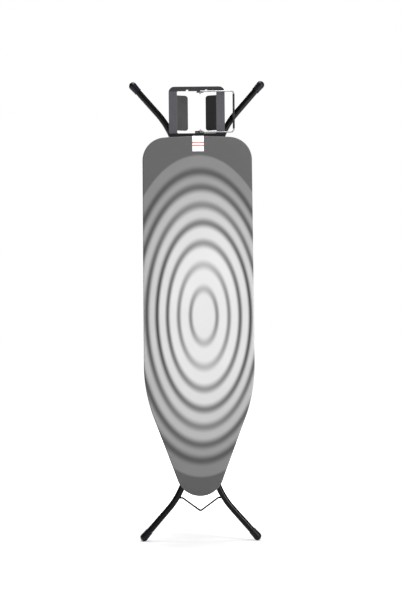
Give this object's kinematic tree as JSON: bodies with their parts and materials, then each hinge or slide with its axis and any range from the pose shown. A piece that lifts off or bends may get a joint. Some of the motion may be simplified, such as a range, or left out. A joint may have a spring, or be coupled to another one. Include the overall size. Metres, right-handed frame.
{
  "type": "ironing board",
  "caption": "Folding ironing board, stored folded: covered board with a tapered nose, scissor legs with splayed feet, sheet iron rest with a hinged wire bail.",
  "frame": {"origin": "on the floor between the feet at the nose end, at mid width and mid depth, with the board folded and upright", "axes": "+Z from the nose to the square end, +Y from the ironing face to the legs, +X across the board"},
  "size_m": [0.4716, 0.054, 1.598],
  "materials": {
    "cover_fabric": "woven cotton, printed in greys",
    "pad_fabric": "needled felt",
    "label_fabric": "woven",
    "graphite_paint": "fine satin powder coat",
    "black_paint": "satin powder coat",
    "zinc_wire": "zinc plated",
    "black_plastic": "fine grain",
    "glide_plastic": "smooth",
    "silicone": "matt"
  },
  "bodies": {
    "root": {"board_rim": "graphite_paint", "board_mesh": "graphite_paint", "underlay_pad": "pad_fabric", "cover": "cover_fabric", "cover_label": "label_fabric", "nose_channel": "graphite_paint", "middle_channel": "graphite_paint", "end_channel": "graphite_paint", "hinge_bracket": "graphite_paint", "guide_rail_left": "graphite_paint", "guide_rail_right": "graphite_paint", "lever_brackets": "graphite_paint", "lever_spring": "zinc_wire", "transport_catch": "black_plastic", "rivets": "zinc_wire", "iron_rest_plate": "graphite_paint", "iron_rest_screws": "zinc_wire"},
    "outer_legs": {"outer_leg_left": "black_paint", "outer_leg_right": "black_paint", "outer_leg_lugs": "black_paint", "outer_cross_bar": "black_paint", "hinge_rod": "zinc_wire", "pivot_bolts": "zinc_wire", "pivot_nuts": "zinc_wire", "pivot_washers": "glide_plastic", "outer_foot_left": "black_plastic", "outer_foot_right": "black_plastic"},
    "inner_legs": {"inner_leg_left": "black_paint", "inner_leg_right": "black_paint", "inner_leg_lugs": "black_paint", "inner_cross_bar_upper": "black_paint", "inner_cross_bar_lower": "black_paint", "slider_rod": "zinc_wire", "inner_foot_left": "black_plastic", "inner_foot_right": "black_plastic"},
    "glides": {"glide_left": "glide_plastic", "glide_right": "glide_plastic"},
    "lever": {"height_lever": "zinc_wire", "lever_grip": "black_plastic"},
    "transport_lock": {"transport_lock_wire": "black_paint"},
    "bail": {"bail_wire": "zinc_wire", "bail_sleeve": "silicone"}
  },
  "joints": [
    {"name": "legs_fold", "type": "hinge", "parent": "root", "child": "outer_legs", "pos_m": [0, -0.007, 0.298], "axis": [-1, 0, 0], "range_deg": [0, 45.5]},
    {"name": "scissor_pivot", "type": "hinge", "parent": "outer_legs", "child": "inner_legs", "pos_m": [0, 0.013, 0.799], "axis": [1, 0, 0], "range_deg": [0, 91]},
    {"name": "glide_turn", "type": "hinge", "parent": "inner_legs", "child": "glides", "pos_m": [0, -0.007, 1.3], "axis": [-1, 0, 0], "range_deg": [0, 45.5]},
    {"name": "height_lever", "type": "hinge", "parent": "root", "child": "lever", "pos_m": [0.07, -0.01, 0.883], "axis": [-1, 0, 0], "range_deg": [-4.2, 4]},
    {"name": "transport_lock", "type": "hinge", "parent": "inner_legs", "child": "transport_lock", "pos_m": [0, 0.013, 0.15], "axis": [1, 0, 0], "range_deg": [-65, 174]},
    {"name": "bail_swing", "type": "hinge", "parent": "root", "child": "bail", "pos_m": [0.012, -0.0055, 1.491], "axis": [0, 0, -1], "range_deg": [0, 180]}
  ],
  "couplings": [
    {"joint": "scissor_pivot", "follows": "legs_fold", "ratio": 2},
    {"joint": "glide_turn", "follows": "legs_fold", "ratio": 1}
  ]
}
